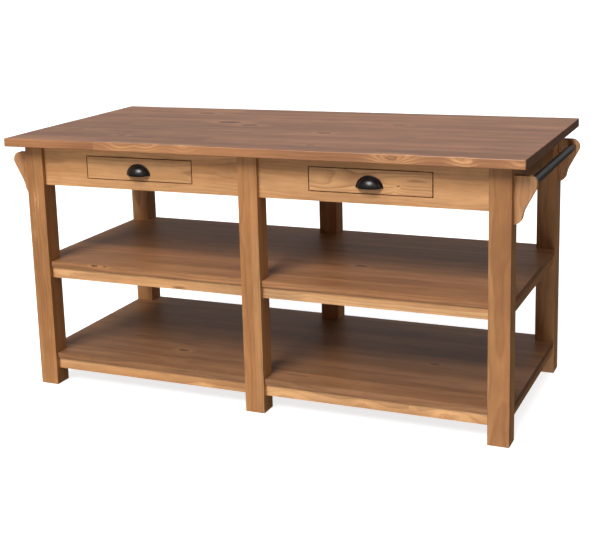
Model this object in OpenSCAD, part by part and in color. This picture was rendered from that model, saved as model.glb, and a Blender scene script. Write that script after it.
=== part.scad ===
// Kitchen work table in solid pine: a thick glued top on six square legs, two full-width shelves,
// two inset drawers with cup pulls, and a round towel rod on scroll brackets at each end.
// Millimetres. +X runs along the table, -Y is the drawer side, +Z is up.
// The origin is on the floor, under the middle of the top.

/* [Top] */
// Length of the top
top_len = 1800; // [1400:10:2200]
// Depth of the top
top_depth = 860; // [700:10:1050]
// Thickness of the top
top_th = 30; // [26:1:45]
// Height of the top's upper face above the floor
total_h = 900; // [750:10:1080]
// How far the top reaches past the legs at each end
over_end = 50; // [20:1:80]
// How far the top reaches past the legs at the front and back
over_side = 50; // [20:1:80]
// Radius of the top's corners, seen from above
corner_r = 10; // [4:1:30]

/* [Legs] */
// Side of the square legs
leg_w = 68; // [56:1:90]
// Wood left between two tenons that meet in one leg
tenon_web = 12; // [8:1:20]
// Thickness of every tenon
tenon_t = 10; // [6:1:12]
// Play round a tenon in its mortise
glue_play = 0.2; // [0.1:0.05:0.5]

/* [Aprons] */
// Thickness of the aprons
apron_t = 22; // [18:1:25]
// How far the aprons stand back from the legs' outer faces
apron_back = 15; // [5:1:18]
// Height of the apron tenons
apron_tenon_h = 100; // [60:1:110]
// Height of the rail between the two middle legs, under the top
divider_h = 100; // [60:1:120]

/* [Shelves] */
// Height of the lower shelf's upper face
low_shelf_z = 118; // [100:1:200]
// Height of the upper shelf's upper face
high_shelf_z = 455; // [350:1:520]
// Thickness of the shelf panels
shelf_t = 20; // [18:1:26]
// How far the shelf panels stand back from the legs at the front and back
shelf_back = 10; // [4:1:14]
// How far the shelf panels stand back from the legs at the ends
shelf_end_back = 3; // [2:1:10]
// Gap between a shelf panel and the legs it is notched round
notch_gap = 0.5; // [0.3:0.1:2]
// Height of the shelf rails
rail_h = 40; // [36:1:60]
// Thickness of the shelf rails
rail_t = 25; // [18:1:28]
// How far the long shelf rails stand back from the legs' outer faces
rail_back = 18; // [10:1:20]
// How far the end shelf rails stand back from the legs' outer faces
end_rail_back = 13; // [10:1:20]
// Height of the shelf rail tenons
rail_tenon_h = 26; // [20:1:30]

/* [Drawers] */
// Width of each drawer opening
open_w = 405; // [300:1:480]
// Height of each drawer opening
open_h = 80; // [66:1:90]
// Apron left under each drawer opening
open_low = 30; // [25:1:40]
// Apron left above each drawer opening
open_high = 30; // [26:1:45]
// Gap all round a closed drawer front
reveal = 3; // [2:0.5:4]
// Depth of a drawer from its front face to the ends of its sides
drawer_depth = 450; // [300:10:520]
// Thickness of a drawer front
front_t = 20; // [16:1:24]
// Thickness of the drawer sides and backs
side_t = 12; // [10:1:15]
// How far the front board reaches past the sides on each side
front_lip = 3; // [2:0.5:6]
// How much lower the drawer sides are than the front board
side_drop = 4; // [3:1:10]
// Depth of the housings that hold the sides in the front board
housing_d = 6; // [4:1:8]
// Depth of the grooves for the bottom and of the housings for the back
groove_d = 5; // [3:1:6]
// Thickness of a drawer bottom
bottom_t = 6; // [4:1:9]
// Height of the bottom's groove above a side's lower edge
groove_up = 8; // [6:1:12]
// Distance from the ends of the sides to the back board
back_in = 8; // [4:1:20]
// Play of the bottom and back in their grooves
groove_play = 0.3; // [0.1:0.1:0.6]

/* [Drawer runners] */
// Play between a drawer side and the ledge under it
ledge_play = 0.5; // [0.3:0.1:1]
// Play between a drawer side and its guide
guide_play = 1.5; // [0.5:0.1:2.5]
// Thickness of a runner's guide
guide_t = 17; // [12:1:20]
// Height of a runner's guide above its ledge
guide_h = 20; // [12:1:30]
// Height of a runner's ledge
ledge_h = 25; // [18:1:30]
// Width of a runner's ledge beside the guide
ledge_w = 18; // [14:1:24]
// Width of a kicker rail
kicker_w = 30; // [25:1:45]
// Play between a kicker and the drawer under it
kicker_play = 1.5; // [1:0.1:3]
// Length of the stub tongues that seat the runners and kickers in the aprons
stub_len = 6; // [4:1:8]
// Height of the stub tongues
stub_h = 12; // [10:1:14]
// Shoulder left on each side of a stub tongue
stub_in = 5; // [3:1:7]
// Length of the stop on a ledge behind a closed drawer
stop_len = 25; // [15:1:40]
// Gap between a closed drawer and its stops
stop_play = 0.3; // [0.2:0.1:1]

/* [Cup pulls] */
// Width of a cup pull's flange
pull_w = 90; // [80:1:120]
// Height of a cup pull's flange
pull_h = 39; // [34:1:50]
// Thickness of the flange
flange_t = 2.5; // [2:0.5:4]
// Width of the flange outside the cup
flange_w = 5; // [3:0.5:8]
// How far the cup stands out from the drawer front
cup_out = 26; // [20:1:32]
// Wall of the cup
cup_wall = 2; // [1.5:0.5:3]
// Distance between a pull's two screws
pull_screws = 64; // [50:1:80]
// Height of the screws above the cup's open edge
pull_screw_up = 10; // [8:1:14]
// Radius of the screw posts inside the cup
post_r = 4; // [3.5:0.5:5]
// Length of the screw posts
post_len = 12; // [8:1:13]

/* [Brackets and towel rods] */
// Thickness of the scroll brackets
bracket_t = 22; // [18:1:30]
// Distance from the top's underside to a bracket's upper edge
bracket_down = 30; // [15:1:60]
// Radius of a bracket's upper lobe
lobe_r = 27; // [24:1:32]
// Distance from the leg's face to the middle of the lobe
lobe_out = 41; // [34:1:50]
// Angle at which the bracket's edge sweeps in below the lobe
sweep_a = 28; // [20:1:35]
// Length of the straight sweep
sweep_len = 63; // [40:1:80]
// Radius of the hollow below the sweep
hollow_r = 88; // [60:1:120]
// Angle at which the hollow turns into the foot
foot_a = 8; // [4:1:14]
// Radius of the bracket's foot
foot_r = 28; // [24:1:32]
// Diameter of the towel rods
rod_d = 26; // [18:1:30]
// Wall of the towel rods
rod_wall = 1.5; // [1:0.5:3]
// How deep a rod sits in each bracket
rod_seat = 14; // [8:1:16]
// Play round a rod in its seat
rod_play = 0.1; // [0.05:0.05:0.3]
// Distance from the leg's face to the middle of the rod
rod_out = 45; // [38:1:52]
// Diameter of the dowels that hold the brackets
dowel_d = 8; // [6:1:10]
// Length of the dowels
dowel_len = 30; // [20:1:36]
// Play round a dowel
dowel_play = 0.05; // [0.02:0.01:0.1]

/* [Screws and buttons] */
// Diameter of the wood screws and pull screws
screw_d = 4; // [3:0.5:5]
// Length of the wood screws under the head
screw_len = 35; // [30:1:38]
// Wood clamped between a wood screw's head and the joint
screw_grip = 20; // [18:1:24]
// Diameter of the screw heads
head_d = 8; // [7:0.5:9]
// Height of the screw heads
head_h = 3; // [2:0.5:4]
// Diameter of the holes that let a screw head in
counter_d = 10; // [9:0.5:12]
// Play round a screw
screw_play = 0.25; // [0.1:0.05:0.5]
// Length of a pull screw under its head
pull_screw_len = 29; // [24:1:31]
// Width of a top button
button_w = 30; // [24:1:40]
// Length of a top button without its tongue
button_len = 36; // [30:1:50]
// Length of a top button's tongue
tongue_len = 10; // [6:1:12]
// Thickness of a top button's tongue
tongue_t = 9; // [6:1:12]
// Play between a tongue and its slot, for the top's movement
slot_play = 0.5; // [0.3:0.1:2]

/* [Hidden] */
$fn = 48;
eps = 0.01;
under_top = total_h - top_th;
end_x = top_len / 2 - over_end;              // outer face of the end legs
side_y = top_depth / 2 - over_side;          // outer face of the front and back legs
col_x = end_x - leg_w / 2;                   // middle of the end legs
row_y = side_y - leg_w / 2;                  // middle of the front and back legs
bay_len = col_x - leg_w;                     // clear length between an end leg and a middle leg
bay_x = col_x / 2;                           // middle of that length
end_len = 2 * (row_y - leg_w / 2);           // clear length between a front leg and a back leg
tenon_len = (leg_w - tenon_web) / 2;
apron_h = open_low + open_h + open_high;     // the aprons are as high as their openings need
apron_z = under_top - apron_h;
apron_y = side_y - apron_back - apron_t / 2; // middle of the front and back aprons
apron_end_x = end_x - apron_back - apron_t / 2;
rail_y = side_y - rail_back - rail_t / 2;    // middle of the long shelf rails
rail_end_x = end_x - end_rail_back - rail_t / 2;
open_z = apron_z + open_low;
face_y = -(side_y - apron_back);             // front face of the front aprons and drawer fronts
apron_in_y = side_y - apron_back - apron_t;  // inner faces of the front and back aprons
front_w = open_w - 2 * reveal;
front_h = open_h - 2 * reveal;
box_w = front_w - 2 * front_lip;             // drawer width over its sides
box_z = open_z + reveal;                     // lower edge of the drawer front and sides
box_h = front_h - side_drop;
box_start_y = face_y + front_t;              // back face of a drawer front
box_end_y = face_y + drawer_depth;
back_y = box_end_y - back_in - side_t;       // front face of a drawer's back board
bottom_w = box_w - 2 * side_t + 2 * groove_d - 2 * groove_play;
guide_x = box_w / 2 + guide_play;            // guide's inner face, from the drawer's middle
ledge_z = box_z - ledge_play;
runner_x = guide_x - ledge_w;                // ledge's inner edge, from the drawer's middle
kicker_z = box_z + box_h + kicker_play;
kicker_h = under_top - kicker_z;
cup_w = pull_w - 2 * flange_w;
cup_h = pull_h - flange_w;
pull_z = box_z + front_h / 2 - pull_h / 2;   // open lower edge of a cup pull
lobe_down = bracket_down + lobe_r;
rod_z = under_top - lobe_down;
button_h = screw_grip;
tongue_z = under_top - button_h + slot_play;
shelf_screw_x = bay_len / 4;
end_screw_y = end_len / 4;
kicker_screw_y = apron_in_y / 2;
button_y = end_len / 4;

honey = [0.74, 0.53, 0.33];
brown = [0.59, 0.46, 0.41];
pale = [0.80, 0.66, 0.47];
iron = [0.18, 0.17, 0.18];
steel = [0.24, 0.24, 0.26];

// ---- shared shapes ----

// A block centred in X and Y that stands on its lower face.
module block(size) {
    translate([-size[0] / 2, -size[1] / 2, 0])
        cube(size);
}

// A board along X with a tenon on each end, standing on its lower edge. "play" swells the tenons for
// cutting their mortises, and leaves the board's shoulders where they are.
module tenoned_board(len, thick, high, tenon_h) {
    block([len, thick, high]);
    tenons(len, high, tenon_h, 0);
}

module tenons(len, high, tenon_h, play) {
    translate([0, 0, (high - tenon_h) / 2 - play])
        block([len + 2 * tenon_len + 2 * play, tenon_t + 2 * play, tenon_h + 2 * play]);
}

// Puts a child drawn along X in a front or back bay. side is -1 for left, row is -1 for front.
module in_bay(side, row, y, z) {
    translate([side * bay_x, row * y, z])
        children();
}

// Turns a child drawn along X to run front to back at x.
module across(x, z) {
    translate([x, 0, z])
        rotate([0, 0, 90])
            children();
}

// Hole for one upright wood screw whose head sits at depth below the joint at z.
module screw_hole(x, y, z, deep) {
    translate([x, y, z - screw_grip - eps])
        cylinder(d = screw_d + 2 * screw_play, h = screw_grip + 2 * eps);
    translate([x, y, z - deep - eps])
        cylinder(d = counter_d, h = deep - screw_grip + eps);
}

module pilot_hole(x, y, z) {
    translate([x, y, z - eps])
        cylinder(d = screw_d, h = screw_len - screw_grip + eps);
}

// Places of the wood screws, as [x, y, joint height].
function shelf_screw_spots(z) = concat(
    [for (side = [-1, 1], row = [-1, 1], k = [-1, 1]) [side * bay_x + k * shelf_screw_x, row * rail_y, z]],
    [for (side = [-1, 1], k = [-1, 1]) [side * rail_end_x, k * end_screw_y, z]]);

function kicker_screw_spots() =
    [for (side = [-1, 1], k = [-1, 0, 1]) [side * bay_x, k * kicker_screw_y, under_top]];

// Places of the top buttons, as [x, y, turn], where the tongue points along the turned +X.
function button_spots() = concat(
    [for (side = [-1, 1], k = [-1, 1])
        [side * (apron_end_x - apron_t / 2), k * button_y, side > 0 ? 0 : 180]],
    [for (side = [-1, 1], k = [-1, 1])
        [side * bay_x + k * shelf_screw_x, apron_in_y, 90]]);

function button_screw_spots() = [for (b = button_spots())
    [b[0] - cos(b[2]) * button_len / 2, b[1] - sin(b[2]) * button_len / 2, under_top]];

// ---- top ----

module tabletop() {
    inner = [top_len - 2 * corner_r, top_depth - 2 * corner_r];
    color(brown)
    difference() {
        translate([0, 0, under_top])
            union() {
                block([top_len, inner[1], top_th]);
                block([inner[0], top_depth, top_th]);
                for (sx = [-1, 1], sy = [-1, 1])
                    translate([sx * inner[0] / 2, sy * inner[1] / 2, 0])
                        cylinder(r = corner_r, h = top_th);
            }
        for (s = concat(kicker_screw_spots(), button_screw_spots()))
            pilot_hole(s[0], s[1], s[2]);
    }
}

// ---- legs ----

// Every tenon that meets a leg, drawn in its place, for cutting the mortises.
module all_long_tenons(side, row) {
    in_bay(side, row, apron_y, apron_z)
        tenons(bay_len, apron_h, apron_tenon_h, glue_play);
    for (z = [low_shelf_z, high_shelf_z])
        in_bay(side, row, rail_y, z - shelf_t - rail_h)
            tenons(bay_len, rail_h, rail_tenon_h, glue_play);
}

module all_end_tenons(side) {
    across(side * apron_end_x, apron_z)
        tenons(end_len, apron_h, apron_tenon_h, glue_play);
    for (z = [low_shelf_z, high_shelf_z])
        across(side * rail_end_x, z - shelf_t - rail_h)
            tenons(end_len, rail_h, rail_tenon_h, glue_play);
}

module all_cross_tenons() {
    across(0, under_top - divider_h)
        tenons(end_len, divider_h, divider_h - 2 * stub_in, glue_play);
    for (z = [low_shelf_z, high_shelf_z])
        across(0, z - shelf_t - rail_h)
            tenons(end_len, rail_h, rail_tenon_h, glue_play);
}

module leg(column, row) {
    color(honey)
    difference() {
        translate([column * col_x, row * row_y, 0])
            block([leg_w, leg_w, under_top]);
        if (column <= 0)
            all_long_tenons(-1, row);
        if (column >= 0)
            all_long_tenons(1, row);
        if (column == 0)
            all_cross_tenons();
        if (column != 0)
            all_end_tenons(column);
        if (column != 0)
            dowel_bores(column, row);
    }
}

// ---- aprons and rails ----

module apron_front(side) {
    color(honey)
    difference() {
        in_bay(side, -1, apron_y, apron_z)
            tenoned_board(bay_len, apron_t, apron_h, apron_tenon_h);
        translate([side * bay_x, -apron_y, open_z])
            block([open_w, apron_t + 2, open_h]);
        stub_sockets(side);
    }
}

module apron_back(side) {
    color(honey)
    difference() {
        in_bay(side, 1, apron_y, apron_z)
            tenoned_board(bay_len, apron_t, apron_h, apron_tenon_h);
        stub_sockets(side);
        button_slots();
    }
}

module apron_end(side) {
    color(honey)
    difference() {
        across(side * apron_end_x, apron_z)
            tenoned_board(end_len, apron_t, apron_h, apron_tenon_h);
        button_slots();
    }
}

module divider_rail() {
    color(pale)
    across(0, under_top - divider_h)
        tenoned_board(end_len, apron_t, divider_h, divider_h - 2 * stub_in);
}

module long_rail(side, row, shelf_z) {
    color(honey)
    difference() {
        in_bay(side, row, rail_y, shelf_z - shelf_t - rail_h)
            tenoned_board(bay_len, rail_t, rail_h, rail_tenon_h);
        for (k = [-1, 1])
            screw_hole(side * bay_x + k * shelf_screw_x, row * rail_y, shelf_z - shelf_t, rail_h);
    }
}

module end_rail(side, shelf_z) {
    color(honey)
    difference() {
        across(side * rail_end_x, shelf_z - shelf_t - rail_h)
            tenoned_board(end_len, rail_t, rail_h, rail_tenon_h);
        for (k = [-1, 1])
            screw_hole(side * rail_end_x, k * end_screw_y, shelf_z - shelf_t, rail_h);
    }
}

module cross_rail(shelf_z) {
    color(pale)
    across(0, shelf_z - shelf_t - rail_h)
        tenoned_board(end_len, rail_t, rail_h, rail_tenon_h);
}

// ---- shelves ----

module shelf_panel(shelf_z) {
    z = shelf_z - shelf_t;
    notch = leg_w + 2 * notch_gap;
    color(brown)
    difference() {
        translate([0, 0, z])
            block([2 * (end_x - shelf_end_back), 2 * (side_y - shelf_back), shelf_t]);
        for (column = [-1, 0, 1], row = [-1, 1])
            translate([column * col_x, row * row_y, z - 1])
                block([notch, notch, shelf_t + 2]);
        for (s = shelf_screw_spots(z))
            pilot_hole(s[0], s[1], s[2]);
    }
}

// ---- end brackets and towel rods ----

// A bracket's edge in its own plane: x is the distance out from the leg, y the drop below the top.
function out(a) = [cos(a), sin(a)];
function down(a) = [-sin(a), cos(a)];
function arc(c, r, from, to, steps) = [for (i = [0:steps]) c + r * out(from + (to - from) * i / steps)];

lobe_c = [lobe_out, lobe_down];
sweep_end = lobe_c + lobe_r * out(sweep_a) + sweep_len * down(sweep_a);
hollow_c = sweep_end + hollow_r * out(sweep_a);
hollow_end = hollow_c - hollow_r * out(foot_a);
foot_c = hollow_end - foot_r * out(foot_a);
foot_end_a = acos(-foot_c[0] / foot_r);

function bracket_edge() = concat(
    [[0, bracket_down]],
    arc(lobe_c, lobe_r, -90, sweep_a, 16),
    arc(hollow_c, -hollow_r, sweep_a, foot_a, 8),
    arc(foot_c, foot_r, foot_a, foot_end_a, 12));

dowel_z = [under_top - lobe_down, under_top - sweep_end[1]];

module dowel_bores(side, row) {
    for (z = dowel_z)
        translate([side * end_x, row * row_y, z])
            rotate([0, 90, 0])
                cylinder(d = dowel_d + 2 * dowel_play, h = dowel_len + 2, center = true);
}

module bracket(side, row) {
    color(honey)
    difference() {
        translate([side * end_x, row * row_y, under_top])
            mirror([side < 0 ? 1 : 0, 0, 0])
                rotate([-90, 0, 0])
                    translate([0, 0, -bracket_t / 2])
                        linear_extrude(height = bracket_t)
                            polygon(bracket_edge());
        rod_bore(side, row);
        dowel_bores(side, row);
    }
}

// Blind seat for the rod, open towards the middle of the table.
module rod_bore(side, row) {
    inner_y = row_y - bracket_t / 2;
    translate([side * (end_x + rod_out), row * (inner_y + (rod_seat - 1) / 2), rod_z])
        rotate([90, 0, 0])
            cylinder(d = rod_d + 2 * rod_play, h = rod_seat + 1, center = true);
}

module towel_rod(side) {
    len = 2 * (row_y - bracket_t / 2 + rod_seat);
    color(steel)
    translate([side * (end_x + rod_out), 0, rod_z])
        rotate([90, 0, 0])
            difference() {
                cylinder(d = rod_d, h = len, center = true);
                cylinder(d = rod_d - 2 * rod_wall, h = len + 2, center = true);
            }
}

// ---- drawers ----

module drawer_front(side) {
    mid = side * bay_x;
    color(honey)
    difference() {
        translate([mid, face_y + front_t / 2, box_z])
            block([front_w, front_t, front_h]);
        for (k = [-1, 1])
            translate([mid + k * (box_w - side_t) / 2, box_start_y - housing_d / 2 + 1, box_z - 1])
                block([side_t, housing_d + 2, box_h + 1]);
        translate([mid, box_start_y - groove_d / 2 + 1, box_z + groove_up])
            block([box_w - side_t, groove_d + 2, bottom_t + groove_play]);
        for (k = [-1, 1])
            translate([mid + k * pull_screws / 2, face_y + front_t / 2, pull_z + pull_screw_up])
                rotate([90, 0, 0])
                    cylinder(d = screw_d + 2 * screw_play, h = front_t + 2, center = true);
    }
}

// hand is -1 for a drawer's left side and 1 for its right side.
module drawer_side(side, hand) {
    start_y = box_start_y - housing_d;
    len = box_end_y - start_y;
    groove_len = back_y + side_t - start_y;
    x = side * bay_x + hand * (box_w - side_t) / 2;
    inner_x = x - hand * side_t / 2;
    color(pale)
    difference() {
        translate([x, start_y + len / 2, box_z])
            block([side_t, len, box_h]);
        translate([inner_x, start_y + groove_len / 2 - 1, box_z + groove_up])
            block([2 * groove_d, groove_len + 2, bottom_t + groove_play]);
        translate([inner_x, back_y + side_t / 2, box_z + groove_up])
            block([2 * groove_d, side_t + 2 * groove_play, box_h]);
    }
}

module drawer_back(side) {
    z = box_z + groove_up + bottom_t;
    color(pale)
    translate([side * bay_x, back_y + side_t / 2, z])
        block([bottom_w, side_t, box_z + box_h - z]);
}

module drawer_bottom(side) {
    start_y = box_start_y - groove_d + groove_play;
    len = back_y + side_t - start_y;
    color(pale)
    translate([side * bay_x, start_y + len / 2, box_z + groove_up])
        block([bottom_w, len, bottom_t]);
}

// ---- cup pulls ----

// Half of an ellipse with its flat side down.
function half_oval(w, h, steps) =
    [for (i = [0:steps]) [w / 2 * cos(180 * i / steps), h * sin(180 * i / steps)]];

// A quarter of an egg-shaped solid: flat against the drawer front and flat below.
module quarter_egg(w, h, deep) {
    half = [for (i = [0:20]) [h * sin(180 * i / 20), w / 2 * cos(180 * i / 20)]];
    scale([1, deep / h, 1])
        rotate([0, 90, 0])
            rotate([0, 0, 180])
                rotate_extrude(angle = 90)
                    polygon(half);
}

module cup_pull(side) {
    mid = side * bay_x;
    color(iron)
    translate([mid, face_y, pull_z])
        difference() {
            union() {
                rotate([90, 0, 0])
                    linear_extrude(height = flange_t)
                        polygon(half_oval(pull_w, pull_h, 32));
                quarter_egg(cup_w, cup_h, cup_out);
            }
            difference() {
                cup_hollow();
                for (k = [-1, 1])
                    translate([k * pull_screws / 2, 0, pull_screw_up])
                        rotate([90, 0, 0])
                            cylinder(r = post_r, h = post_len);
            }
            for (k = [-1, 1])
                translate([k * pull_screws / 2, 1, pull_screw_up])
                    rotate([90, 0, 0])
                        cylinder(d = screw_d, h = post_len);
        }
}

// The inside of the cup, drawn a little past its open back and its open lower edge.
module cup_hollow() {
    past = 1;
    translate([0, past, -past])
        quarter_egg(cup_w - 2 * cup_wall, cup_h - cup_wall + past, cup_out - cup_wall + past);
}

module pull_screws_pair(side) {
    color(steel)
    for (k = [-1, 1])
        translate([side * bay_x + k * pull_screws / 2, box_start_y, pull_z + pull_screw_up])
            rotate([90, 0, 0])
                screw(pull_screw_len);
}

// A screw along +Z whose head is below z = 0.
module screw(len) {
    cylinder(d = screw_d, h = len);
    translate([0, 0, -head_h])
        cylinder(d = head_d, h = head_h);
}

// ---- runners and kickers ----

// hand is -1 for the runner under a drawer's left side and 1 for the right side.
module runner(side, hand) {
    len = 2 * apron_in_y;
    x = side * bay_x + hand * (runner_x + (ledge_w + guide_t) / 2);
    color(pale) {
        translate([x, 0, ledge_z - ledge_h])
            block([ledge_w + guide_t, len, ledge_h]);
        translate([side * bay_x + hand * (guide_x + guide_t / 2), 0, ledge_z - 1])
            block([guide_t, len, guide_h + 1]);
        translate([x, box_end_y + stop_play + stop_len / 2, ledge_z - 1])
            block([ledge_w + guide_t, stop_len, guide_h + 1]);
        runner_stubs(side, hand, 0);
    }
}

module runner_stubs(side, hand, play) {
    x = side * bay_x + hand * (runner_x + (ledge_w + guide_t) / 2);
    wide = ledge_w + guide_t - 2 * stub_in;
    translate([x, 0, ledge_z - ledge_h + stub_in - play])
        block([wide + 2 * play, 2 * (apron_in_y + stub_len + play), stub_h + 2 * play]);
}

module kicker(side) {
    color(pale)
    difference() {
        union() {
            translate([side * bay_x, 0, kicker_z])
                block([kicker_w, 2 * apron_in_y, kicker_h]);
            kicker_stubs(side, 0);
        }
        for (k = [-1, 0, 1])
            screw_hole(side * bay_x, k * kicker_screw_y, under_top, kicker_h);
    }
}

module kicker_stubs(side, play) {
    wide = kicker_w - 2 * stub_in;
    translate([side * bay_x, 0, under_top - stub_in - stub_h - play])
        block([wide + 2 * play, 2 * (apron_in_y + stub_len + play), stub_h + 2 * play]);
}

module stub_sockets(side) {
    for (hand = [-1, 1])
        runner_stubs(side, hand, glue_play);
    kicker_stubs(side, glue_play);
}

// ---- buttons, screws and dowels ----

module top_buttons() {
    color(pale)
    difference() {
        for (b = button_spots())
            translate([b[0], b[1], 0])
                rotate([0, 0, b[2]]) {
                    translate([-button_len / 2, 0, under_top - button_h])
                        block([button_len, button_w, button_h]);
                    translate([tongue_len / 2 - 1, 0, tongue_z])
                        block([tongue_len + 2, button_w, tongue_t]);
                }
        for (s = button_screw_spots())
            screw_hole(s[0], s[1], s[2], button_h);
    }
}

module button_slots() {
    for (b = button_spots())
        translate([b[0], b[1], tongue_z - slot_play])
            rotate([0, 0, b[2]])
                translate([tongue_len / 2, 0, 0])
                    block([tongue_len + 2 * slot_play, button_w + 2 * slot_play, tongue_t + 2 * slot_play]);
}

module wood_screws() {
    shelf_levels = [low_shelf_z - shelf_t, high_shelf_z - shelf_t];
    color(steel)
    for (s = concat(shelf_screw_spots(shelf_levels[0]), shelf_screw_spots(shelf_levels[1]),
            kicker_screw_spots(), button_screw_spots()))
        translate([s[0], s[1], s[2] - screw_grip])
            screw(screw_len - 1);
}

module bracket_dowels() {
    color(pale)
    for (side = [-1, 1], row = [-1, 1], z = dowel_z)
        translate([side * end_x, row * row_y, z])
            rotate([0, 90, 0])
                cylinder(d = dowel_d, h = dowel_len, center = true);
}

// ---- assembly ----

tabletop();
leg(-1, -1);  // leg_front_left
leg(0, -1);  // leg_front_middle
leg(1, -1);  // leg_front_right
leg(-1, 1);  // leg_back_left
leg(0, 1);  // leg_back_middle
leg(1, 1);  // leg_back_right
apron_front(-1);  // apron_front_left
apron_front(1);  // apron_front_right
apron_back(-1);  // apron_back_left
apron_back(1);  // apron_back_right
apron_end(-1);  // apron_end_left
apron_end(1);  // apron_end_right
divider_rail();
shelf_panel(low_shelf_z);  // shelf_panel_lower
shelf_panel(high_shelf_z);  // shelf_panel_upper
long_rail(-1, -1, low_shelf_z);  // lower_rail_front_left
long_rail(1, -1, low_shelf_z);  // lower_rail_front_right
long_rail(-1, 1, low_shelf_z);  // lower_rail_back_left
long_rail(1, 1, low_shelf_z);  // lower_rail_back_right
long_rail(-1, -1, high_shelf_z);  // upper_rail_front_left
long_rail(1, -1, high_shelf_z);  // upper_rail_front_right
long_rail(-1, 1, high_shelf_z);  // upper_rail_back_left
long_rail(1, 1, high_shelf_z);  // upper_rail_back_right
end_rail(-1, low_shelf_z);  // lower_end_rail_left
end_rail(1, low_shelf_z);  // lower_end_rail_right
end_rail(-1, high_shelf_z);  // upper_end_rail_left
end_rail(1, high_shelf_z);  // upper_end_rail_right
cross_rail(low_shelf_z);  // lower_cross_rail
cross_rail(high_shelf_z);  // upper_cross_rail
bracket(-1, -1);  // bracket_front_left
bracket(1, -1);  // bracket_front_right
bracket(-1, 1);  // bracket_back_left
bracket(1, 1);  // bracket_back_right
towel_rod(-1);  // towel_rod_left
towel_rod(1);  // towel_rod_right
drawer_front(-1);  // drawer_front_left
drawer_front(1);  // drawer_front_right
drawer_side(-1, -1);  // drawer_left_side_outer
drawer_side(-1, 1);  // drawer_left_side_inner
drawer_back(-1);  // drawer_left_back
drawer_bottom(-1);  // drawer_left_bottom
drawer_side(1, 1);  // drawer_right_side_outer
drawer_side(1, -1);  // drawer_right_side_inner
drawer_back(1);  // drawer_right_back
drawer_bottom(1);  // drawer_right_bottom
cup_pull(-1);  // cup_pull_left
cup_pull(1);  // cup_pull_right
pull_screws_pair(-1);  // pull_screws_left
pull_screws_pair(1);  // pull_screws_right
runner(-1, -1);  // runner_left_outer
runner(-1, 1);  // runner_left_inner
runner(1, 1);  // runner_right_outer
runner(1, -1);  // runner_right_inner
kicker(-1);  // kicker_left
kicker(1);  // kicker_right
top_buttons();
wood_screws();
bracket_dowels();
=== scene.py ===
import math
import random
from itertools import product

import bmesh
import bpy
from mathutils import Matrix, Vector, noise


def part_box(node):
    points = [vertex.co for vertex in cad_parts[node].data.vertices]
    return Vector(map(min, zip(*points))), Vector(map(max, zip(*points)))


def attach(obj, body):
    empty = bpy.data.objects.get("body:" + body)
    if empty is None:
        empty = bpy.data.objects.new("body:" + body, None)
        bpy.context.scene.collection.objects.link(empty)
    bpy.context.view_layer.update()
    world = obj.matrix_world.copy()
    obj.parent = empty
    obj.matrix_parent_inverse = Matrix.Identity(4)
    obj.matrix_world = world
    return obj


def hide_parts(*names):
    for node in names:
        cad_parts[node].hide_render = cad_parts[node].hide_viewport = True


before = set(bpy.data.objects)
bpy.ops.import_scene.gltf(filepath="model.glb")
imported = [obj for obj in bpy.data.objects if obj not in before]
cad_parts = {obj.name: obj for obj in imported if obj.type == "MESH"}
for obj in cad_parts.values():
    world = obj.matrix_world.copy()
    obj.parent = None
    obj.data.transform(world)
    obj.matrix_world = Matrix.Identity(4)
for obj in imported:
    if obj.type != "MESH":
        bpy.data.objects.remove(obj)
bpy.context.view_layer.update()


# ---- Camera ----
# A long lens on a stand in front of the table and to its right, at head height, tipped down a little.
# The lens is shifted slightly, as on a view camera, so that the legs stay nearly upright.
stand = Matrix.Translation((1.59956, -3.71169, 1.4943))
heading, dip, lean = math.radians(-24.5396), math.radians(-12.0228), math.radians(-1.8502)
ahead = Vector((math.sin(heading) * math.cos(dip), math.cos(heading) * math.cos(dip), math.sin(dip)))
sideways = Vector((math.cos(heading), -math.sin(heading), 0))
upright = sideways.cross(ahead)
across = sideways * math.cos(lean) + upright * math.sin(lean)
upward = upright * math.cos(lean) - sideways * math.sin(lean)
camera = bpy.data.objects.new("camera", bpy.data.cameras.new("camera"))
bpy.context.scene.collection.objects.link(camera)
camera.matrix_world = stand @ Matrix((across, upward, -ahead)).transposed().to_4x4()
camera.data.sensor_width, camera.data.lens = 36, 70.697
camera.data.shift_x, camera.data.shift_y = 0.05, -0.1233
camera.data.clip_start, camera.data.clip_end = 0.05, 200
bpy.context.scene.camera = camera


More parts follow.
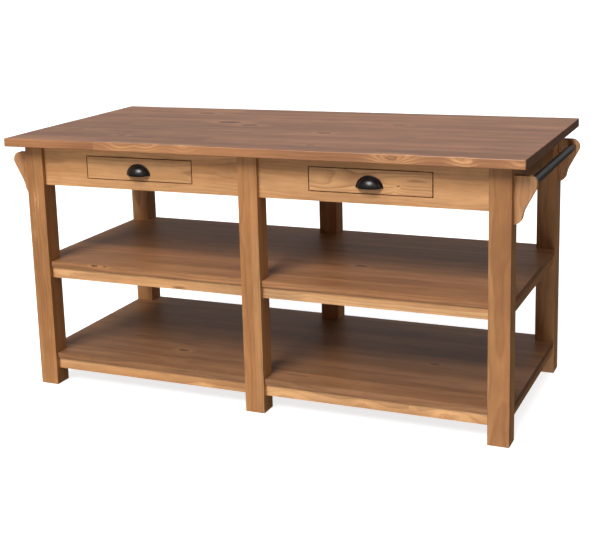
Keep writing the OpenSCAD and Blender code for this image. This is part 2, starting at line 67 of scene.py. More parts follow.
# ---- Legs ----
# Six posts of solid pine, 68 mm square, planed, sanded and stained honey brown, with slightly eased arrises.
# Their mortises for the aprons and rails are hidden once the frame is glued up.
class Wire:
    """One output in a material's nodes, so that shader maths reads as plain arithmetic."""

    def __init__(self, tree, socket=None):
        self.tree, self.socket = tree, socket

    def add(self, kind, settings=None, sockets=None, out=0):
        """A new node: its settings come first, then the values or wires of its sockets."""
        node = self.tree.nodes.new("ShaderNode" + kind)
        for name, value in (settings or {}).items():
            setattr(node, name, value)
        for name, value in (sockets or {}).items():
            if isinstance(value, Wire):
                self.tree.links.new(value.socket, node.inputs[name])
            else:
                node.inputs[name].default_value = value
        return Wire(self.tree, node.outputs[out] if node.outputs else None)

    def also(self, out):
        """Another output of the same node."""
        return Wire(self.tree, self.socket.node.outputs[out])

    def arithmetic(self, operation, first, second):
        """One operation on two terms: Vector Math where either of them is a vector or a colour, or else Math."""
        def threefold(term):
            return isinstance(term, tuple) or isinstance(term, Wire) and term.socket.type != "VALUE"

        if threefold(first) or threefold(second):
            terms = [t if isinstance(t, (tuple, Wire)) else (t, t, t) for t in (first, second)]
            return self.add("VectorMath", {"operation": operation}, dict(enumerate(terms)))
        return self.add("Math", {"operation": operation}, {0: first, 1: second})

    def __add__(self, other):
        return self.arithmetic("ADD", self, other)

    def __radd__(self, other):
        return self.arithmetic("ADD", other, self)

    def __sub__(self, other):
        return self.arithmetic("SUBTRACT", self, other)

    def __rsub__(self, other):
        return self.arithmetic("SUBTRACT", other, self)

    def __mul__(self, other):
        return self.arithmetic("MULTIPLY", self, other)

    def __rmul__(self, other):
        return self.arithmetic("MULTIPLY", other, self)

    def __truediv__(self, other):
        return self.arithmetic("DIVIDE", self, other)

    def __pow__(self, power):
        return self.add("Math", {"operation": "POWER"}, {0: self, 1: power})

    def of(self, operation):
        """A Math operation on this value alone."""
        return self.add("Math", {"operation": operation}, {0: self})

    def rise(self, low, high):
        """0 below low and 1 above high, with a soft step between."""
        limits = {"Value": self, "From Min": low, "From Max": high}
        return self.add("MapRange", {"interpolation_type": "SMOOTHSTEP"}, limits)

    def parts(self):
        """The three values of a vector."""
        first = self.add("SeparateXYZ", sockets={"Vector": self})
        return first, first.also(1), first.also(2)

    def length(self):
        """The length of a vector."""
        return self.add("VectorMath", {"operation": "LENGTH"}, {0: self}, out="Value")

    def cloud(self, detail, roughness, out="Fac"):
        """Noise with one cell to a unit; its Color output has a separate noise for each direction."""
        shape = {"Vector": self, "Scale": 1.0, "Detail": detail, "Roughness": roughness}
        return self.add("TexNoise", sockets=shape, out=out)

    def between(self, first, second):
        """The first colour where this share is 0, the second where it is 1. A Mix of colours takes its share at
        socket 0 and the colours at 6 and 7."""
        first, second = (c if isinstance(c, Wire) else (*c, 1) for c in (first, second))
        return self.add("Mix", {"data_type": "RGBA"}, {0: self, 6: first, 7: second}, out=2)

    def towards(self, other, share):
        """This colour, mixed with another one by share."""
        return share.between(self, other)


def stain(red, green, blue):
    """A colour as a paint chart gives it, turned into the light that it sends back."""
    return tuple(((c / 255 + 0.055) / 1.055) ** 2.4 if c > 10 else c / 255 / 12.92 for c in (red, green, blue))


def tinted(colour, by):
    """A colour made lighter or darker."""
    return tuple(min(1, c * by) for c in colour)


def finish_of(name):
    """A new empty material and the wire that its nodes start from."""
    material = bpy.data.materials.new(name)
    material.use_nodes = True
    material.node_tree.nodes.clear()
    return material, Wire(material.node_tree)


def surface(start, **sockets):
    """The material's one shader, with numbers set on its own sockets."""
    named = {key.replace("_", " ").title().replace("Ior", "IOR"): value for key, value in sockets.items()}
    shader = start.add("BsdfPrincipled", sockets=named)
    start.add("OutputMaterial", sockets={"Surface": shader})


def pine(name, pale, ripe, dark, ring=0.0085, lines=0.5, streaks=0.6, pins=0.8, knots=(), flames=(),
         along=(0.45, 1, 1), edge=None, rough=0.46, coat=0.12, read=True):
    """Stained pine: pale wood, riper wood in broad bands and dark late wood in each growth ring. ring is the rings'
    spacing, and lines, streaks and pins say how strongly late wood, bands and pin knots show. The rings lie round a
    pith that runs along the board, so that they make long lines and flames on its sides and arcs on its ends. Knots
    and pale flames are given as (x, y, z, size), and along draws them out in the direction of the grain. edge is the
    colour of a board's long edges, where it differs from its face; the top's lighter, more orange edge colour is
    painted light, standing for the light that falls on its front edge. With read, the grain comes from the mesh;
    without, from the object's own coordinates."""
    material, start = finish_of(name)
    if read:
        place = start.add("Attribute", {"attribute_name": "grain"}, out="Vector")
        worn, end, tone = start.add("Attribute", {"attribute_name": "look"}, out="Vector").parts()
    else:
        place = start.add("TexCoord", out="Object") * along

    # The rings waver gently along the board, and bend out round each knot and flame. A knot has a dark heart, a rim
    # of bark and a pale halo.
    sway_cells, sway = (2.3, 7.0, 7.0), 0.042
    drift = (place * sway_cells).cloud(2.0, 0.5, "Color") - 0.5
    radius = ((place + drift * sway) * (0.0, 1.0, 1.0)).length()
    bark, heart, halo, blaze = 0, 0, 0, 0
    if knots or flames:
        ragged_cells, ragged = 75.0, 0.011
        where = start.add("TexCoord", out="Object")
        where = where + ((where * ragged_cells).cloud(2.0, 0.5, "Color") - 0.5) * ragged
    for x, y, z, size in knots:
        reach = ((where - (x, y, z)) * along).length() / size
        near = (reach * reach * -0.35).of("EXPONENT")
        radius = radius + near * (size * 2.2)
        heart = heart + (1 - reach.rise(0.3, 0.75))
        bark = bark + reach.rise(0.4, 0.7) * (1 - reach.rise(0.7, 1.1))
        halo = halo + reach.rise(0.8, 1.3) * (1 - reach.rise(1.3, 3.0))
    for x, y, z, size in flames:
        reach = ((where - (x, y, z)) * along).length() / size
        near = (reach * reach * -0.8).of("EXPONENT")
        radius = radius + near * (size * 0.6)
        blaze = blaze + near

    # In each ring the wood darkens slowly to its late wood and ends sharply, more in some years than in others.
    rings = radius / ring
    phase = rings.of("FRACT")
    year = start.add("TexWhiteNoise", {"noise_dimensions": "1D"}, {"W": rings.of("FLOOR")})
    late = phase ** 2.6 * (1 - phase.rise(0.86, 1.0)) * (0.25 + year * 0.95)

    # Noises from broad to fine, in cells to the metre along, across and through the board.
    band_cells, patch_cells, blotch_cells = (0.8, 21.0, 21.0), (1.7, 6.0, 6.0), (11.0, 26.0, 26.0)
    fibre_cells, pin_cells, rub_cells = (11.0, 260.0, 260.0), (2.2, 13.0, 13.0), (30.0, 60.0, 60.0)
    band = (place * band_cells).cloud(3.0, 0.55).rise(0.36, 0.66)
    patch = (place * patch_cells).cloud(2.0, 0.5).rise(0.3, 0.7)
    fibre = (place * fibre_cells).cloud(3.0, 0.65)
    blotch = (place * blotch_cells).cloud(4.0, 0.62)
    colour = (band * streaks).between(pale, ripe)
    colour = colour.towards(dark, late * lines)
    colour = colour * (0.84 + patch * 0.22) * (0.8 + fibre * 0.4) * (0.76 + blotch * 0.48)
    if pins:
        cell = start.add("TexVoronoi", sockets={"Vector": place * pin_cells, "Scale": 1.0})
        chosen = cell.also("Color").parts()[0].rise(0.72, 0.74)
        colour = colour.towards(dark, (1 - cell.rise(0.03, 0.085)) * chosen * pins)
    if flames:
        crest = phase.rise(0.1, 0.45) * (1 - phase.rise(0.6, 0.9))
        colour = colour.towards(stain(216, 162, 108), blaze * (0.2 + 0.7 * crest))
    if knots:
        colour = colour.towards(tinted(pale, 1.15), halo * 0.55)
        colour = colour.towards(tinted(dark, 0.45), bark * 0.8)
        colour = colour.towards(tinted(dark, 0.8), heart * (0.4 + fibre * 0.6))
    # Painted light: a board's long edges lean towards the edge colour, lighter than its face, as the front light shows
    # them.
    if edge:
        colour = colour.towards(edge, (0 - end).rise(0.2, 0.8) * (0.2 + patch * 0.55))
    if read:
        colour = colour * (1 + tone * 0.065)
        colour = colour.towards(tinted(dark, 0.75), end * 0.45)
        rubbed = (place * rub_cells).cloud(2.0, 0.5).rise(0.35, 0.7)
        colour = colour.towards(tinted(pale, 1.15), worn * rubbed * 0.4)
    raised = fibre * 0.5 - late * 0.6
    bump = start.add("Bump", sockets={"Strength": 0.3, "Distance": 0.0007, "Height": raised})
    surface(start, base_color=colour, roughness=rough + fibre * 0.14 - late * 0.1, normal=bump,
            coat_weight=coat, coat_roughness=0.22, ior=1.48)
    return material


def slanting(normal):
    """Whether a face belongs to a rounded edge and not to a flat side."""
    return max(abs(n) for n in normal) < 0.985


def round_over(shape, edges, size, segments):
    """Rounds edges over, as a plane and sandpaper do."""
    bmesh.ops.bevel(shape, geom=edges, offset=size, offset_type="OFFSET", segments=segments, profile=0.5,
                    affect="EDGES", clamp_overlap=True)


def mesh_of(shape, name):
    """The finished mesh of a shape."""
    mesh = bpy.data.meshes.new(name)
    shape.to_mesh(mesh)
    shape.free()
    return mesh


def fit(mesh, name, material, body, stands_for):
    """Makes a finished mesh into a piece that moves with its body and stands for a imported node."""
    mesh.materials.append(material)
    piece = bpy.data.objects.new(name, mesh)
    bpy.context.scene.collection.objects.link(piece)
    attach(piece, body)
    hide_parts(stands_for)


def dress(mesh, name, low, high, axes, body, material, stands_for, luck, pith, seams=(), butts=()):
    """Gives a wooden mesh its grain, stave by stave, tells its rounded edges, ends and long edges from its face, and
    fits the piece. axes are the directions along the grain, across it and through the board. In the mesh's look, end
    is 1 on end grain and -1 on long edges, which a Mix takes as no share at all."""
    along, wide, thick = axes
    lanes = [low[wide], *seams, high[wide]]
    core = (low[thick] + high[thick]) / 2
    stagger, stagger_turn = 0.55, 2.4   # How the end joints are scattered from one row of staves to the next.
    staves = {}

    def stave(face):
        row = sum(face.center[wide] > s for s in seams)
        column = sum(face.center[along] > b + stagger * math.sin(row * stagger_turn) for b in butts)
        if (row, column) not in staves:
            side = luck.choice((-1, 1))
            staves[row, column] = (luck.uniform(3, 60), luck.uniform(-pith[0], pith[0]),
                                   side * luck.uniform(pith[1] * 0.6, pith[1] * 1.5), luck.uniform(-1, 1))
        return row, staves[row, column]

    grain = mesh.attributes.new("grain", "FLOAT_VECTOR", "CORNER")
    look = mesh.attributes.new("look", "FLOAT_VECTOR", "CORNER")
    for face in mesh.polygons:
        row, (start, side, below, tone) = stave(face)
        middle = (lanes[row] + lanes[row + 1]) / 2
        worn = 1.0 if slanting(face.normal) else 0.0
        end = 1.0 if abs(face.normal[along]) > 0.8 else -1.0 if abs(face.normal[wide]) > 0.7 else 0.0
        for corner in face.loop_indices:
            spot = mesh.vertices[mesh.loops[corner].vertex_index].co
            grain.data[corner].vector = (spot[along] + start, spot[wide] - middle + side, spot[thick] - core + below)
            look.data[corner].vector = (worn, end, tone)
    fit(mesh, name, material, body, stands_for)


def timber(name, low, high, along, body, material, stands_for, gone=(), seams=(), butts=(),
           arris=0.0016, corner=0.0, step=0.045, wear=1.0, pith=(0.02, 0.07)):
    """One post or board, or a panel of staves, as planed: cut from low to high with the boxes in gone sawn out, its
    corners and arrises rounded and a little worn. seams are the glue lines between staves, butts the places where
    staves are joined end to end, step the length of the mesh's cells along the grain, and pith how far beside and
    below the middle of a stave its pith lies."""
    luck = random.Random(name)
    wide, thick = sorted((axis for axis in range(3) if axis != along), key=lambda axis: low[axis] - high[axis])
    cuts = []
    for axis in range(3):
        lines = {low[axis], high[axis]}
        lines |= {box[k] for box in gone for k in (axis, axis + 3) if low[axis] < box[k] < high[axis]}
        if axis == wide:
            lines |= set(seams)
        if axis == along:
            lines |= set(butts)
            count = max(2, round((high[axis] - low[axis]) / step))
            even = [low[axis] + (high[axis] - low[axis]) * k / count for k in range(1, count)]
            lines |= {e for e in even if all(abs(e - other) > step * 0.35 for other in lines)}
        cuts.append(sorted(lines))

    def solid(cell):
        if any(not 0 <= k < len(cuts[axis]) - 1 for axis, k in enumerate(cell)):
            return False
        middle = [(cuts[axis][k] + cuts[axis][k + 1]) / 2 for axis, k in enumerate(cell)]
        return not any(all(box[a] < middle[a] < box[a + 3] for a in range(3)) for box in gone)

    shape, corners = bmesh.new(), {}

    def corner_at(spot):
        if spot not in corners:
            corners[spot] = shape.verts.new([cuts[axis][k] for axis, k in enumerate(spot)])
        return corners[spot]

    for cell in product(*(range(len(c) - 1) for c in cuts)):
        if not solid(cell):
            continue
        for axis, way in product(range(3), (0, 1)):
            beside = list(cell)
            beside[axis] += 1 if way else -1
            if solid(beside):
                continue
            rim = []
            for du, dv in ((0, 0), (1, 0), (1, 1), (0, 1)):
                spot = list(cell)
                spot[axis] += way
                spot[(axis + 1) % 3] += du
                spot[(axis + 2) % 3] += dv
                rim.append(corner_at(tuple(spot)))
            shape.faces.new(rim if way else rim[::-1])

    if corner:
        standing = [e for e in shape.edges if abs((e.verts[0].co - e.verts[1].co).normalized()[thick]) > 0.9]
        round_over(shape, [e for e in standing if e.calc_face_angle(0) > 1], corner, 6)
    round_over(shape, [e for e in shape.edges if e.calc_face_angle(0) > 0.9], arris, 2)
    shape.normal_update()
    eased = set()
    for face in shape.faces:
        face.smooth = slanting(face.normal)
        if face.smooth:
            eased.update(face.verts)

    # Planing and sanding leave a flat side very slightly uneven; use rubs the arrises down and dents them.
    planed, uneven, rubbed, dented = 0.00012, 0.00025, 0.0007, 0.0016
    shift = Vector([luck.uniform(-9, 9) for _ in range(3)])
    for vertex in shape.verts:
        depth = planed + uneven * abs(noise.noise(vertex.co * 5 + shift))
        if vertex in eased:
            depth += rubbed * wear * max(0, noise.noise(vertex.co * 22 + shift))
            depth += dented * wear * max(0, noise.noise(vertex.co * 61 - shift) - 0.45)
        vertex.co -= vertex.normal * depth
    dress(mesh_of(shape, name), name, low, high, (along, wide, thick), body, material, stands_for, luck, pith,
          seams, butts)


scuffs = ((-0.818, -0.39, 0.68, 0.014), (-0.83, -0.39, 0.618, 0.01), (-0.832, -0.39, 0.556, 0.01),
          (-0.8, -0.39, 0.19, 0.008))
leg_knots = ((0.765, -0.39, 0.4, 0.004), (0.8, -0.39, 0.6, 0.003))
leg_wood = pine("leg_wood", stain(181, 129, 80), stain(161, 107, 60), stain(108, 64, 34), lines=0.55, streaks=0.85,
                pins=0.4, knots=leg_knots, flames=scuffs, along=(1, 1, 0.45))
legs = {}
for row, column in product(("front", "back"), ("left", "middle", "right")):
    node = f"leg_{row}_{column}"
    low, high = legs[row, column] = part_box(node)
    timber(node + "_post", low, high, 2, "frame", leg_wood, node, arris=0.0022, step=0.03, wear=1.4,
           pith=(0.05, 0.08))


# ---- Aprons ----
# Pine boards on edge that join the legs under the top, tenoned into them and glued, with a divider rail between the
# middle legs. Each front apron has a cut-out for its drawer; the others are plain.
into_leg = 0.004   # How far a board's mesh runs into its legs, in place of its hidden tenons.


def between_legs(node, axis, near, far):
    """The node's box, cut back at its tenons to just inside the two legs that it joins."""
    low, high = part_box(node)
    low[axis], high[axis] = legs[near][1][axis] - into_leg, legs[far][0][axis] + into_leg
    return low, high


halves = {"left": ("left", "middle"), "right": ("middle", "right")}
drawer_gap = 0.003
apron_wood = pine("apron_wood", stain(200, 148, 98), stain(181, 127, 78), stain(126, 77, 43), lines=0.4, streaks=0.8,
                  pins=0.0)
for (side, (near, far)), row in product(halves.items(), ("front", "back")):
    node = f"apron_{row}_{side}"
    low, high = between_legs(node, 0, (row, near), (row, far))
    cut_outs = []
    if row == "front":
        face_low, face_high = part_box(f"drawer_front_{side}")
        cut_outs = [(face_low.x - drawer_gap, low.y - 1, face_low.z - drawer_gap,
                     face_high.x + drawer_gap, high.y + 1, face_high.z + drawer_gap)]
    timber(node + "_board", low, high, 0, "frame", apron_wood, node, gone=cut_outs, arris=0.0012)
end_stains = stain(176, 124, 78), stain(160, 106, 62), stain(112, 66, 34)
end_wood = pine("end_wood", *end_stains)
for node, column in (("apron_end_left", "left"), ("apron_end_right", "right"), ("divider_rail", "middle")):
    low, high = between_legs(node, 1, ("front", column), ("back", column))
    timber(node + "_board", low, high, 1, "frame", end_wood, node, arris=0.0012)


# ---- Shelf rails ----
# Narrow pine rails under both shelves, tenoned between the legs along the front and back and at the ends, with a cross
# rail in the middle. They carry the shelf panels, which are screwed down from below.
blazes = ((0.1, -0.37, 0.066, 0.03), (0.375, -0.37, 0.074, 0.018), (0.63, -0.37, 0.078, 0.016),
          (0.69, -0.37, 0.072, 0.026), (-0.74, -0.37, 0.42, 0.014), (-0.2, -0.37, 0.063, 0.016),
          (0.2, -0.37, 0.415, 0.016))
rail_knots = ((0.544, -0.37, 0.084, 0.0045), (0.7, -0.37, 0.068, 0.006), (-0.1, -0.37, 0.43, 0.004))
rail_wood = pine("rail_wood", stain(200, 152, 104), stain(178, 126, 78), stain(124, 76, 42), ring=0.011, streaks=0.9,
                 knots=rail_knots, flames=blazes)
rail_end_wood = pine("rail_end_wood", *end_stains)
for level in ("lower", "upper"):
    for row, (side, (near, far)) in product(("front", "back"), halves.items()):
        node = f"{level}_rail_{row}_{side}"
        low, high = between_legs(node, 0, (row, near), (row, far))
        timber(node + "_bar", low, high, 0, "frame", rail_wood, node, arris=0.0015, wear=1.3,
               pith=(0.03, 0.05))
    for rail, column in (("end_rail_left", "left"), ("end_rail_right", "right"), ("cross_rail", "middle")):
        node = f"{level}_{rail}"
        low, high = between_legs(node, 1, ("front", column), ("back", column))
        timber(node + "_bar", low, high, 1, "frame", rail_end_wood, node, arris=0.0015)


# ---- Shelf panels ----
# Two wide panels of pine staves glued edge to edge, 20 mm thick, notched round all six legs and resting on the rails.
# They are a little darker than the frame, the lower one darker still as painted shade beneath the upper shelf, and
# both are worn smooth at the front edge.
# The lower panel's colours are darker than the upper's: painted shade for its place beneath the upper shelf.
shelf_stains_and_shade = {"upper": (stain(161, 112, 72), stain(141, 93, 55), stain(88, 50, 27)),
                "lower": (stain(143, 100, 65), stain(123, 81, 49), stain(74, 44, 25))}
shelf_knots = {"upper": ((-0.605, -0.37, 0.455, 0.006), (-0.56, -0.375, 0.455, 0.006), (0.28, -0.1, 0.455, 0.01),
                         (-0.2, 0.12, 0.455, 0.008)),
               "lower": ((-0.36, -0.2, 0.118, 0.009), (0.52, -0.05, 0.118, 0.008))}
shelf_staves, leg_gap, beside_end = 8, 0.0005, 0.01
for level in ("upper", "lower"):
    node = f"shelf_panel_{level}"
    low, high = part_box(node)
    notches = []
    for leg_low, leg_high in legs.values():
        # A notch round an end leg is open to the end of the panel.
        near, far = leg_low.x - leg_gap, leg_high.x + leg_gap
        near = near if near >= low.x + beside_end else low.x - 1
        far = far if far < high.x - beside_end else high.x + 1
        notches.append((near, leg_low.y - leg_gap, low.z - 1, far, leg_high.y + leg_gap, high.z + 1))
    shelf_wood_and_shade = pine(f"shelf_wood_and_shade_{level}", *shelf_stains_and_shade[level], ring=0.0095, lines=0.55, streaks=0.8,
                      knots=shelf_knots[level], rough=0.45, coat=0.1)
    glue_lines = [low.y + (high.y - low.y) * k / shelf_staves for k in range(1, shelf_staves)]
    timber(node + "_staves", low, high, 0, "frame", shelf_wood_and_shade, node, gone=notches, seams=glue_lines,
           wear=1.2, pith=(0.03, 0.05))


# ---- Scroll brackets ----
# Four brackets of 22 mm pine, bandsawn to a scroll and sanded round along their edges, dowelled to the outer faces of
# the end legs. Each holds one end of a towel rod in a blind hole.
bracket_wood = pine("bracket_wood", stain(192, 140, 94), stain(174, 120, 74), stain(116, 68, 38), ring=0.007,
                    lines=0.6, streaks=0.7)
top_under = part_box("tabletop")[0].z


def polar(angle):
    """The point at this angle on a circle of radius 1."""
    return Vector((math.cos(math.radians(angle)), math.sin(math.radians(angle))))


def scroll_outline():
    """The bracket's edge as (distance out from the leg, drop below the top): a round lobe for the rod, a long hollow
    below it, and a small round foot that runs back into the leg."""
    shoulder, lobe, lobe_r, straight = 0.03, Vector((0.041, 0.057)), 0.027, 0.063
    hollow_r, foot_r = 0.088, 0.028
    sweep, foot = 28, 8
    downward = Vector((-math.sin(math.radians(sweep)), math.cos(math.radians(sweep))))
    hollow = lobe + polar(sweep) * lobe_r + downward * straight + polar(sweep) * hollow_r
    foot_middle = hollow - polar(foot) * (hollow_r + foot_r)
    last = math.degrees(math.acos(-foot_middle.x / foot_r))
    edge = [Vector((0, shoulder))]
    edge += [lobe + polar(-90 + (sweep + 90) * k / 24) * lobe_r for k in range(25)]
    edge += [hollow - polar(sweep + (foot - sweep) * k / 12) * hollow_r for k in range(13)]
    edge += [foot_middle + polar(foot + (last - foot) * k / 16) * foot_r for k in range(1, 17)]
    return edge


rim_round, same_side = 0.0028, 1e-6
for row, (side, out) in product(("front", "back"), (("left", -1), ("right", 1))):
    node = f"bracket_{row}_{side}"
    low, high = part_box(node)
    leg_face = low.x if out > 0 else high.x
    shape = bmesh.new()
    outline = [shape.verts.new((leg_face + out * p.x, low.y, top_under - p.y)) for p in scroll_outline()]
    blank = shape.faces.new(outline if out < 0 else outline[::-1])
    blank.normal_update()
    if blank.normal.y > 0:
        blank.normal_flip()
    sawn = bmesh.ops.extrude_face_region(shape, geom=[blank])["geom"]
    bmesh.ops.translate(shape, verts=[g for g in sawn if isinstance(g, bmesh.types.BMVert)],
                        vec=(0, high.y - low.y, 0))
    bmesh.ops.recalc_face_normals(shape, faces=shape.faces)
    rims = [e for e in shape.edges if abs(e.verts[0].co.y - e.verts[1].co.y) < same_side]
    round_over(shape, rims, rim_round, 4)
    bmesh.ops.triangulate(shape, faces=[f for f in shape.faces if len(f.verts) > 4])
    for face in shape.faces:
        face.smooth = abs(face.normal.y) < 0.99
    name = node + "_scroll"
    dress(mesh_of(shape, name), name, low, high, (2, 0, 1), "frame", bracket_wood, node,
          random.Random(name), (0.02, 0.05))


# ---- Towel rods ----
# Two lengths of 26 mm steel tube, painted satin black, pushed into the blind holes of the brackets before the
# brackets are fixed. Towels have rubbed the paint a little unevenly.
rod_paint, start = finish_of("rod_paint")
place = start.add("TexCoord", out="Object")
speck_cells, smear_cells = 260.0, (9.0, 2.5, 9.0)
speck = (place * speck_cells).cloud(3.0, 0.6)
smear = (place * smear_cells).cloud(2.0, 0.5).rise(0.35, 0.7)
surface(start, base_color=(smear * 0.6 + speck * 0.25).between(stain(40, 37, 37), stain(62, 58, 58)),
        roughness=0.34 + smear * 0.14 + speck * 0.08, metallic=0.25, coat_weight=0.3, coat_roughness=0.3,
        normal=start.add("Bump", sockets={"Strength": 0.25, "Distance": 0.0004, "Height": speck}))
tube_wall, chamfer, draw_mark = 0.0015, 0.0005, 0.00008
sides, lengths, inner_lengths = 40, 24, 8
run, up, right = Vector((0, 1, 0)), Vector((0, 0, 1)), Vector((1, 0, 0))
for side in ("left", "right"):
    node = f"towel_rod_{side}"
    low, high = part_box(node)
    middle, half, radius = (low + high) / 2, (high.y - low.y) / 2, (high.z - low.z) / 2
    bore = radius - tube_wall
    profile = [(-half, bore), (-half, radius - chamfer), (-half + chamfer, radius)]
    profile += [(-half + 2 * half * k / lengths, radius - draw_mark * (k % 2)) for k in range(1, lengths)]
    profile += [(half - chamfer, radius), (half, radius - chamfer), (half, bore)]
    profile += [(half * (1 - 2 * k / inner_lengths), bore) for k in range(1, inner_lengths)]
    shape, rings = bmesh.new(), []
    for at, reach in profile:
        turns = [math.tau * k / sides for k in range(sides)]
        rings.append([shape.verts.new(middle + run * at + (up * math.cos(t) + right * math.sin(t)) * reach)
                      for t in turns])
    for near, far in zip(rings, rings[1:] + rings[:1]):
        for k in range(sides):
            beyond = (k + 1) % sides
            shape.faces.new((near[k], near[beyond], far[beyond], far[k])).smooth = True
    bmesh.ops.recalc_face_normals(shape, faces=shape.faces)
    fit(mesh_of(shape, node + "_tube"), node + "_tube", rod_paint, "frame", node)


# ---- Dowels, screws and buttons ----
# Beech dowels between brackets and legs, plated wood screws, and pine buttons that hold the top to the aprons while
# letting it move with the seasons. They are left as packed and given their own finishes.
bare_wood = pine("bare_wood", stain(204, 168, 124), stain(188, 148, 102), stain(150, 106, 66), ring=0.006, lines=0.45,
                 streaks=0.5, pins=0.0, along=(0.6, 1, 1), rough=0.6, coat=0.0, read=False)
plated_steel, start = finish_of("plated_steel")
brush_cells = (140.0, 140.0, 900.0)
brushed = (start.add("TexCoord", out="Object") * brush_cells).cloud(3.0, 0.6)
surface(start, base_color=brushed.between(stain(150, 150, 152), stain(196, 196, 196)),
        roughness=0.28 + brushed * 0.2, metallic=1.0,
        normal=start.add("Bump", sockets={"Strength": 0.2, "Distance": 0.0002, "Height": brushed}))


def refinish(node, finish):
    """Gives a node that stays as packed its finish in every slot."""
    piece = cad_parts[node]
    for slot in piece.material_slots:
        slot.material = finish
    if not piece.material_slots:
        piece.data.materials.append(finish)


for node in ("top_buttons", "bracket_dowels"):
    refinish(node, bare_wood)
for node in ("wood_screws", "pull_screws_left", "pull_screws_right"):
    refinish(node, plated_steel)


# ---- Runners and kickers ----
# Unstained pine runners let into the front and back aprons carry each drawer at both sides, and a kicker above keeps
# it from tipping when it is pulled out. Their grain runs from front to back, as the drawer does.
runner_wood = pine("runner_wood", stain(198, 158, 110), stain(182, 138, 92), stain(140, 94, 56), ring=0.007, lines=0.4,
                   pins=0.0, along=(1, 0.3, 1), rough=0.55, coat=0.0, read=False)
for side in ("left", "right"):
    for node in (f"runner_{side}_outer", f"runner_{side}_inner", f"kicker_{side}"):
        refinish(node, runner_wood)


# ---- Drawer boxes ----
# Each drawer is a box of thin unstained pine: two sides and a back, with a thin bottom held in grooves. The sides are
# housed in the back of the drawer front and glued.
box_stains = stain(206, 168, 120), stain(190, 148, 100), stain(148, 102, 62)
for side in ("left", "right"):
    for wall, along in (("side_outer", 1), ("side_inner", 1), ("back", 0)):
        node = f"drawer_{side}_{wall}"
        box_wood = pine(f"drawer_wood_{side}_{wall}", *box_stains, ring=0.006, streaks=0.5, rough=0.55, coat=0.03)
        low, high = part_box(node)
        timber(node + "_board", low, high, along, f"drawer_{side}", box_wood, node, arris=0.001)
    refinish(f"drawer_{side}_bottom", bare_wood)


# ---- Drawer fronts ----
# Two inset fronts of 20 mm pine chosen for their figure, with a 3 mm gap all round. The right one shows strong flames
# and a small knot near its end.
front_stains = stain(203, 151, 101), stain(187, 133, 82), stain(126, 78, 43)
front_knot, front_flame = (0.5, -0.366, 0.79, 0.0035), (0.485, -0.366, 0.775, 0.009)
for side, figure in (("left", {"ring": 0.0075, "lines": 0.55}),
                     ("right", {"ring": 0.0045, "lines": 0.8, "knots": (front_knot,), "flames": (front_flame,)})):
    node = f"drawer_front_{side}"
    front_wood = pine(f"front_wood_{side}", *front_stains, streaks=0.5, pins=0.0, **figure)
    low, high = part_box(node)
    timber(node + "_board", low, high, 0, f"drawer_{side}", front_wood, node, arris=0.0012,
           step=0.025, pith=(0.01, 0.045))


# ---- Cup pulls ----
# Cast iron cup pulls, blackened and waxed: a half-round flange that lies on the drawer front, and a hooded cup open
# below for the fingers. Two screws from inside the drawer hold each one through posts inside the cup.
black_iron, start = finish_of("black_iron")
place = start.add("TexCoord", out="Object")
cast_cells, rub_cells = 420.0, 55.0
cast = (place * cast_cells).cloud(4.0, 0.6)
rub = (place * rub_cells).cloud(3.0, 0.55).rise(0.45, 0.75)
surface(start, base_color=(rub * 0.5 + cast * 0.2).between(stain(34, 30, 30), stain(70, 64, 64)),
        roughness=0.26 + cast * 0.16 + rub * 0.06, metallic=0.7, coat_weight=0.25, coat_roughness=0.2,
        normal=start.add("Bump", sockets={"Strength": 0.35, "Distance": 0.0004, "Height": cast}))
lip, under_lip, flange, cup_wall = 0.005, 0.0035, 0.0025, 0.002
arches, swings = 40, 14
# The flange's section as (outward, proud), from where it meets the cup round its rounded outer edge.
section = ((0.0, 0.0), (1.0, 0.0), (1.0, 0.55), (0.93, 0.85), (0.8, 1.0), (0.15, 1.0), (0.0, 0.8))
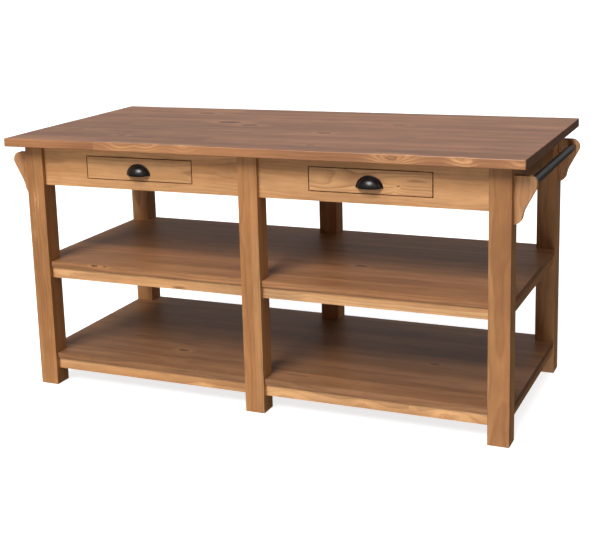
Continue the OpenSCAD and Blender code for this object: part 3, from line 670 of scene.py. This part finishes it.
# The screw posts: their outline as (place along the post, radius), how far out and up they stand, and their sides.
post = ((0.0, 0.004), (-0.0112, 0.004), (-0.0118, 0.0036), (-0.012, 0.002))
post_out, post_up, post_sides = 0.032, 0.01, 20
for side in ("left", "right"):
    node = f"cup_pull_{side}"
    low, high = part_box(node)
    centre, face_y = (low.x + high.x) / 2, high.y
    half_wide, tall, deep = (high.x - low.x) / 2, high.z - low.z, high.y - low.y
    shape = bmesh.new()

    def cup_rows(shrink):
        """Rows of points over the arch, the first against the flange and the last along the lower rim."""
        rows = []
        wide_r, tall_r, deep_r = half_wide - lip - shrink, tall - lip - shrink, deep - shrink
        for m in range(swings + 1):
            swing, row = math.pi / 2 * m / swings, []
            for k in range(arches):
                turn = math.pi * (0.5 + k) / arches
                spread = math.sin(turn)
                row.append(shape.verts.new((centre + wide_r * math.cos(turn),
                                            face_y - deep_r * spread * math.sin(swing),
                                            low.z + tall_r * spread * math.cos(swing))))
            rows.append(row)
        return rows

    def skin(*corners):
        """One face of the casting, shaded smooth."""
        shape.faces.new(corners).smooth = True

    outer, inner = cup_rows(0), cup_rows(cup_wall)
    for m, k in product(range(swings), range(arches - 1)):
        skin(outer[m][k], outer[m][k + 1], outer[m + 1][k + 1], outer[m + 1][k])
        skin(inner[m][k], inner[m + 1][k], inner[m + 1][k + 1], inner[m][k + 1])
    for k in range(arches - 1):
        skin(outer[-1][k], outer[-1][k + 1], inner[-1][k + 1], inner[-1][k])
        skin(outer[0][k + 1], outer[0][k], inner[0][k], inner[0][k + 1])
    for m in range(swings):
        skin(outer[m][0], outer[m + 1][0], inner[m + 1][0], inner[m][0])
        skin(outer[m + 1][-1], outer[m][-1], inner[m][-1], inner[m + 1][-1])

    strips = []
    for k in range(arches + 1):
        turn, strip = math.pi * k / arches, []
        for outward, proud in section:
            reach = -under_lip + outward * (lip + under_lip)
            strip.append(shape.verts.new((centre + (half_wide - lip + reach) * math.cos(turn), face_y - flange * proud,
                                          low.z + (tall - lip + reach) * math.sin(turn))))
        strips.append(strip)
    for near, far in zip(strips, strips[1:]):
        for m in range(len(section)):
            beyond = (m + 1) % len(section)
            skin(near[m], near[beyond], far[beyond], far[m])
    shape.faces.new(strips[0])
    shape.faces.new(strips[-1][::-1])

    for way in (-1, 1):
        rounds = []
        for at, radius in post:
            turns = [math.tau * k / post_sides for k in range(post_sides)]
            rounds.append([shape.verts.new((centre + way * post_out + radius * math.cos(t), face_y + at,
                                            low.z + post_up + radius * math.sin(t))) for t in turns])
        for near, far in zip(rounds, rounds[1:]):
            for k in range(post_sides):
                beyond = (k + 1) % post_sides
                skin(near[k], near[beyond], far[beyond], far[k])
        shape.faces.new(rounds[-1])
    bmesh.ops.recalc_face_normals(shape, faces=shape.faces)
    fit(mesh_of(shape, node + "_casting"), node + "_casting", black_iron, f"drawer_{side}", node)


# ---- Top ----
# One thick panel of long pine staves glued edge to edge, 30 mm thick, its corners and arrises rounded by hand and the
# whole face stained and lacquered. Buttons hold it to the aprons.
top_knots = ((0.5, -0.427, 0.888, 0.009), (-0.285, 0.088, 0.9, 0.021), (-0.48, 0.29, 0.9, 0.016),
             (-0.18, 0.034, 0.9, 0.015), (0.15, -0.083, 0.9, 0.012), (0.2, -0.326, 0.9, 0.008),
             (0.34, 0.143, 0.9, 0.012), (-0.52, -0.278, 0.9, 0.009))
curls = ((-0.44, -0.43, 0.885, 0.022), (-0.33, -0.43, 0.89, 0.02), (-0.2, -0.43, 0.885, 0.02),
         (0.47, -0.43, 0.885, 0.018), (0.54, -0.43, 0.885, 0.018), (0.7, -0.43, 0.888, 0.013),
         (0.73, -0.43, 0.882, 0.012), (0.88, -0.43, 0.885, 0.012))
# The top's edge colour is painted light: its long edges are made lighter and more orange, as the light from the front
# shows them.
top_wood = pine("top_wood", stain(154, 106, 74), stain(132, 86, 59), stain(76, 44, 28), ring=0.008, lines=0.8,
                streaks=0.85, knots=top_knots, flames=curls, edge=stain(172, 118, 76), rough=0.38, coat=0.35)
top_staves, end_joint = 9, -0.539
low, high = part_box("tabletop")
glue_lines = [low.y + (high.y - low.y) * k / top_staves for k in range(1, top_staves)]
timber("tabletop_staves", low, high, 0, "frame", top_wood, "tabletop", seams=glue_lines,
       butts=(end_joint,), arris=0.0026, corner=0.01, step=0.03, wear=1.6, pith=(0.03, 0.05))


# ---- Floor and lights ----
# A plain pale floor, so wide that its edge is never seen, white studio walls, and six soft lamps: a broad main one in
# front and above, one that stands for the light thrown back up by the floor, and weak ones overhead, at both sides
# and behind.
floor_paint, start = finish_of("floor_paint")
scuff_cells, grey, paler = 0.8, 0.54, 0.57
scuff = (start.add("TexCoord", out="Object") * scuff_cells).cloud(3.0, 0.5)
surface(start, base_color=scuff.between((grey, grey, grey), (paler, paler, paler)), roughness=0.9,
        emission_color=(1, 1, 1, 1), emission_strength=0.78)
floor_reach, just_under = 40, 0.0005
ground = bmesh.new()
bmesh.ops.create_grid(ground, x_segments=8, y_segments=8, size=floor_reach)
floor = bpy.data.objects.new("floor", mesh_of(ground, "floor"))
floor.data.materials.append(floor_paint)
bpy.context.scene.collection.objects.link(floor)
floor.location.z = -just_under
floor.visible_diffuse = floor.visible_glossy = floor.visible_shadow = False

# Each lamp's direction, strength, width in degrees, and whether it is mirrored in gloss.
for name, towards, strength, softness, mirrored in (("key_lamp", (-0.1, -0.7, 0.7), 3.5, 28, True),
                                                    ("floor_light", (-0.05, -0.8, -0.6), 1.5, 60, False),
                                                    ("overhead_lamp", (0.05, -0.1, 1.0), 0.95, 60, False),
                                                    ("right_lamp", (1.0, -0.15, 0.15), 0.5, 40, False),
                                                    ("left_lamp", (-1.0, 0.2, 0.12), 0.7, 40, False),
                                                    ("back_lamp", (-0.1, 1.0, 0.12), 1.1, 40, False)):
    lamp = bpy.data.objects.new(name, bpy.data.lights.new(name, "SUN"))
    lamp.data.energy, lamp.data.angle = strength, math.radians(softness)
    lamp.visible_glossy = mirrored
    lamp.rotation_euler = Vector(towards).to_track_quat("Z", "Y").to_euler()
    bpy.context.scene.collection.objects.link(lamp)

# The walls are white where they are seen, dim where they only give light, and mirrored from the floor's edge up.
studio = bpy.data.worlds.new("studio")
bpy.context.scene.world = studio
studio.use_nodes = True
studio.node_tree.nodes.clear()
air = Wire(studio.node_tree)
seen = air.add("LightPath", out="Is Camera Ray")
height = air.add("TexCoord", out="Generated").parts()[2]
glow = 0.05 + seen.also("Is Glossy Ray") * height.rise(-0.02, 0.12) * 0.25 + seen * 0.95
walls = air.add("Background", sockets={"Color": (1, 1, 1, 1), "Strength": glow})
air.add("OutputWorld", sockets={"Surface": walls})
bpy.context.scene.view_settings.view_transform = "Standard"
